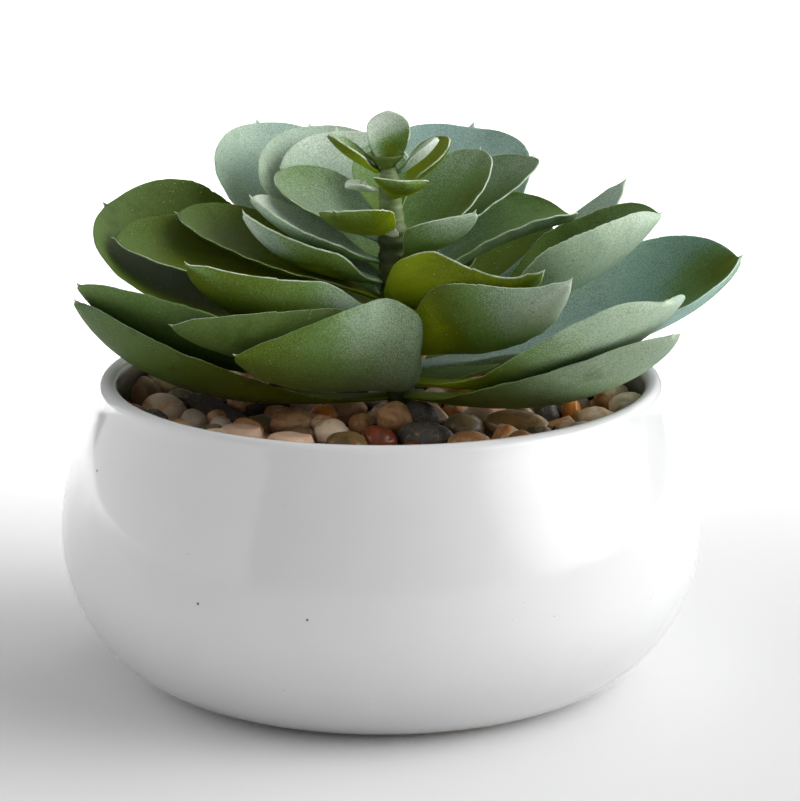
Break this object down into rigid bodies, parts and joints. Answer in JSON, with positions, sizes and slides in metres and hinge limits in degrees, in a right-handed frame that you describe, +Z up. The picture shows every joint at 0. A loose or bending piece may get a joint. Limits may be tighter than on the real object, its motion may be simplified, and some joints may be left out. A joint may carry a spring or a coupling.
{
  "type": "potted succulent",
  "caption": "Rosette of moulded, powdery blue-green leaves on a short stem, in a round white glazed bowl topped with mixed pebbles.",
  "frame": {"origin": "centre of the bowl's flat foot, on the surface that it stands on", "axes": "+Z up, along the bowl's axis of turning; the rosette's pictured front faces -Y, with +X to its right"},
  "size_m": [0.1756, 0.165, 0.1447],
  "materials": {
    "glaze": "gloss",
    "bark": "matte",
    "pebble": "satin",
    "stem": "satin",
    "leaf_low": "matte",
    "leaf_middle": "matte",
    "leaf_high": "matte",
    "leaf_crown": "matte"
  },
  "bodies": {
    "root": {"bowl": "glaze", "soil": "bark", "pebble_bed": "pebble", "stem": "stem", "leaf_low_1": "leaf_low", "leaf_low_2": "leaf_low", "leaf_low_3": "leaf_low", "leaf_low_4": "leaf_low", "leaf_low_5": "leaf_low", "leaf_low_6": "leaf_low", "leaf_low_7": "leaf_low", "leaf_low_8": "leaf_low", "leaf_low_9": "leaf_low", "leaf_low_10": "leaf_low", "leaf_middle_1": "leaf_middle", "leaf_middle_2": "leaf_middle", "leaf_middle_3": "leaf_middle", "leaf_middle_4": "leaf_middle", "leaf_middle_5": "leaf_middle", "leaf_middle_6": "leaf_middle", "leaf_middle_7": "leaf_middle", "leaf_middle_8": "leaf_middle", "leaf_middle_9": "leaf_middle", "leaf_middle_10": "leaf_middle", "leaf_middle_11": "leaf_middle", "leaf_middle_12": "leaf_middle", "leaf_middle_13": "leaf_middle", "leaf_high_1": "leaf_high", "leaf_high_2": "leaf_high", "leaf_high_3": "leaf_high", "leaf_high_4": "leaf_high", "leaf_high_5": "leaf_high", "leaf_high_6": "leaf_high", "leaf_high_7": "leaf_high", "leaf_high_8": "leaf_high", "leaf_high_9": "leaf_high", "leaf_high_10": "leaf_high", "leaf_high_11": "leaf_high", "leaf_crown_1": "leaf_crown", "leaf_crown_2": "leaf_crown", "leaf_crown_3": "leaf_crown", "leaf_crown_4": "leaf_crown", "leaf_crown_5": "leaf_crown", "leaf_crown_6": "leaf_crown"}
  },
  "joints": []
}
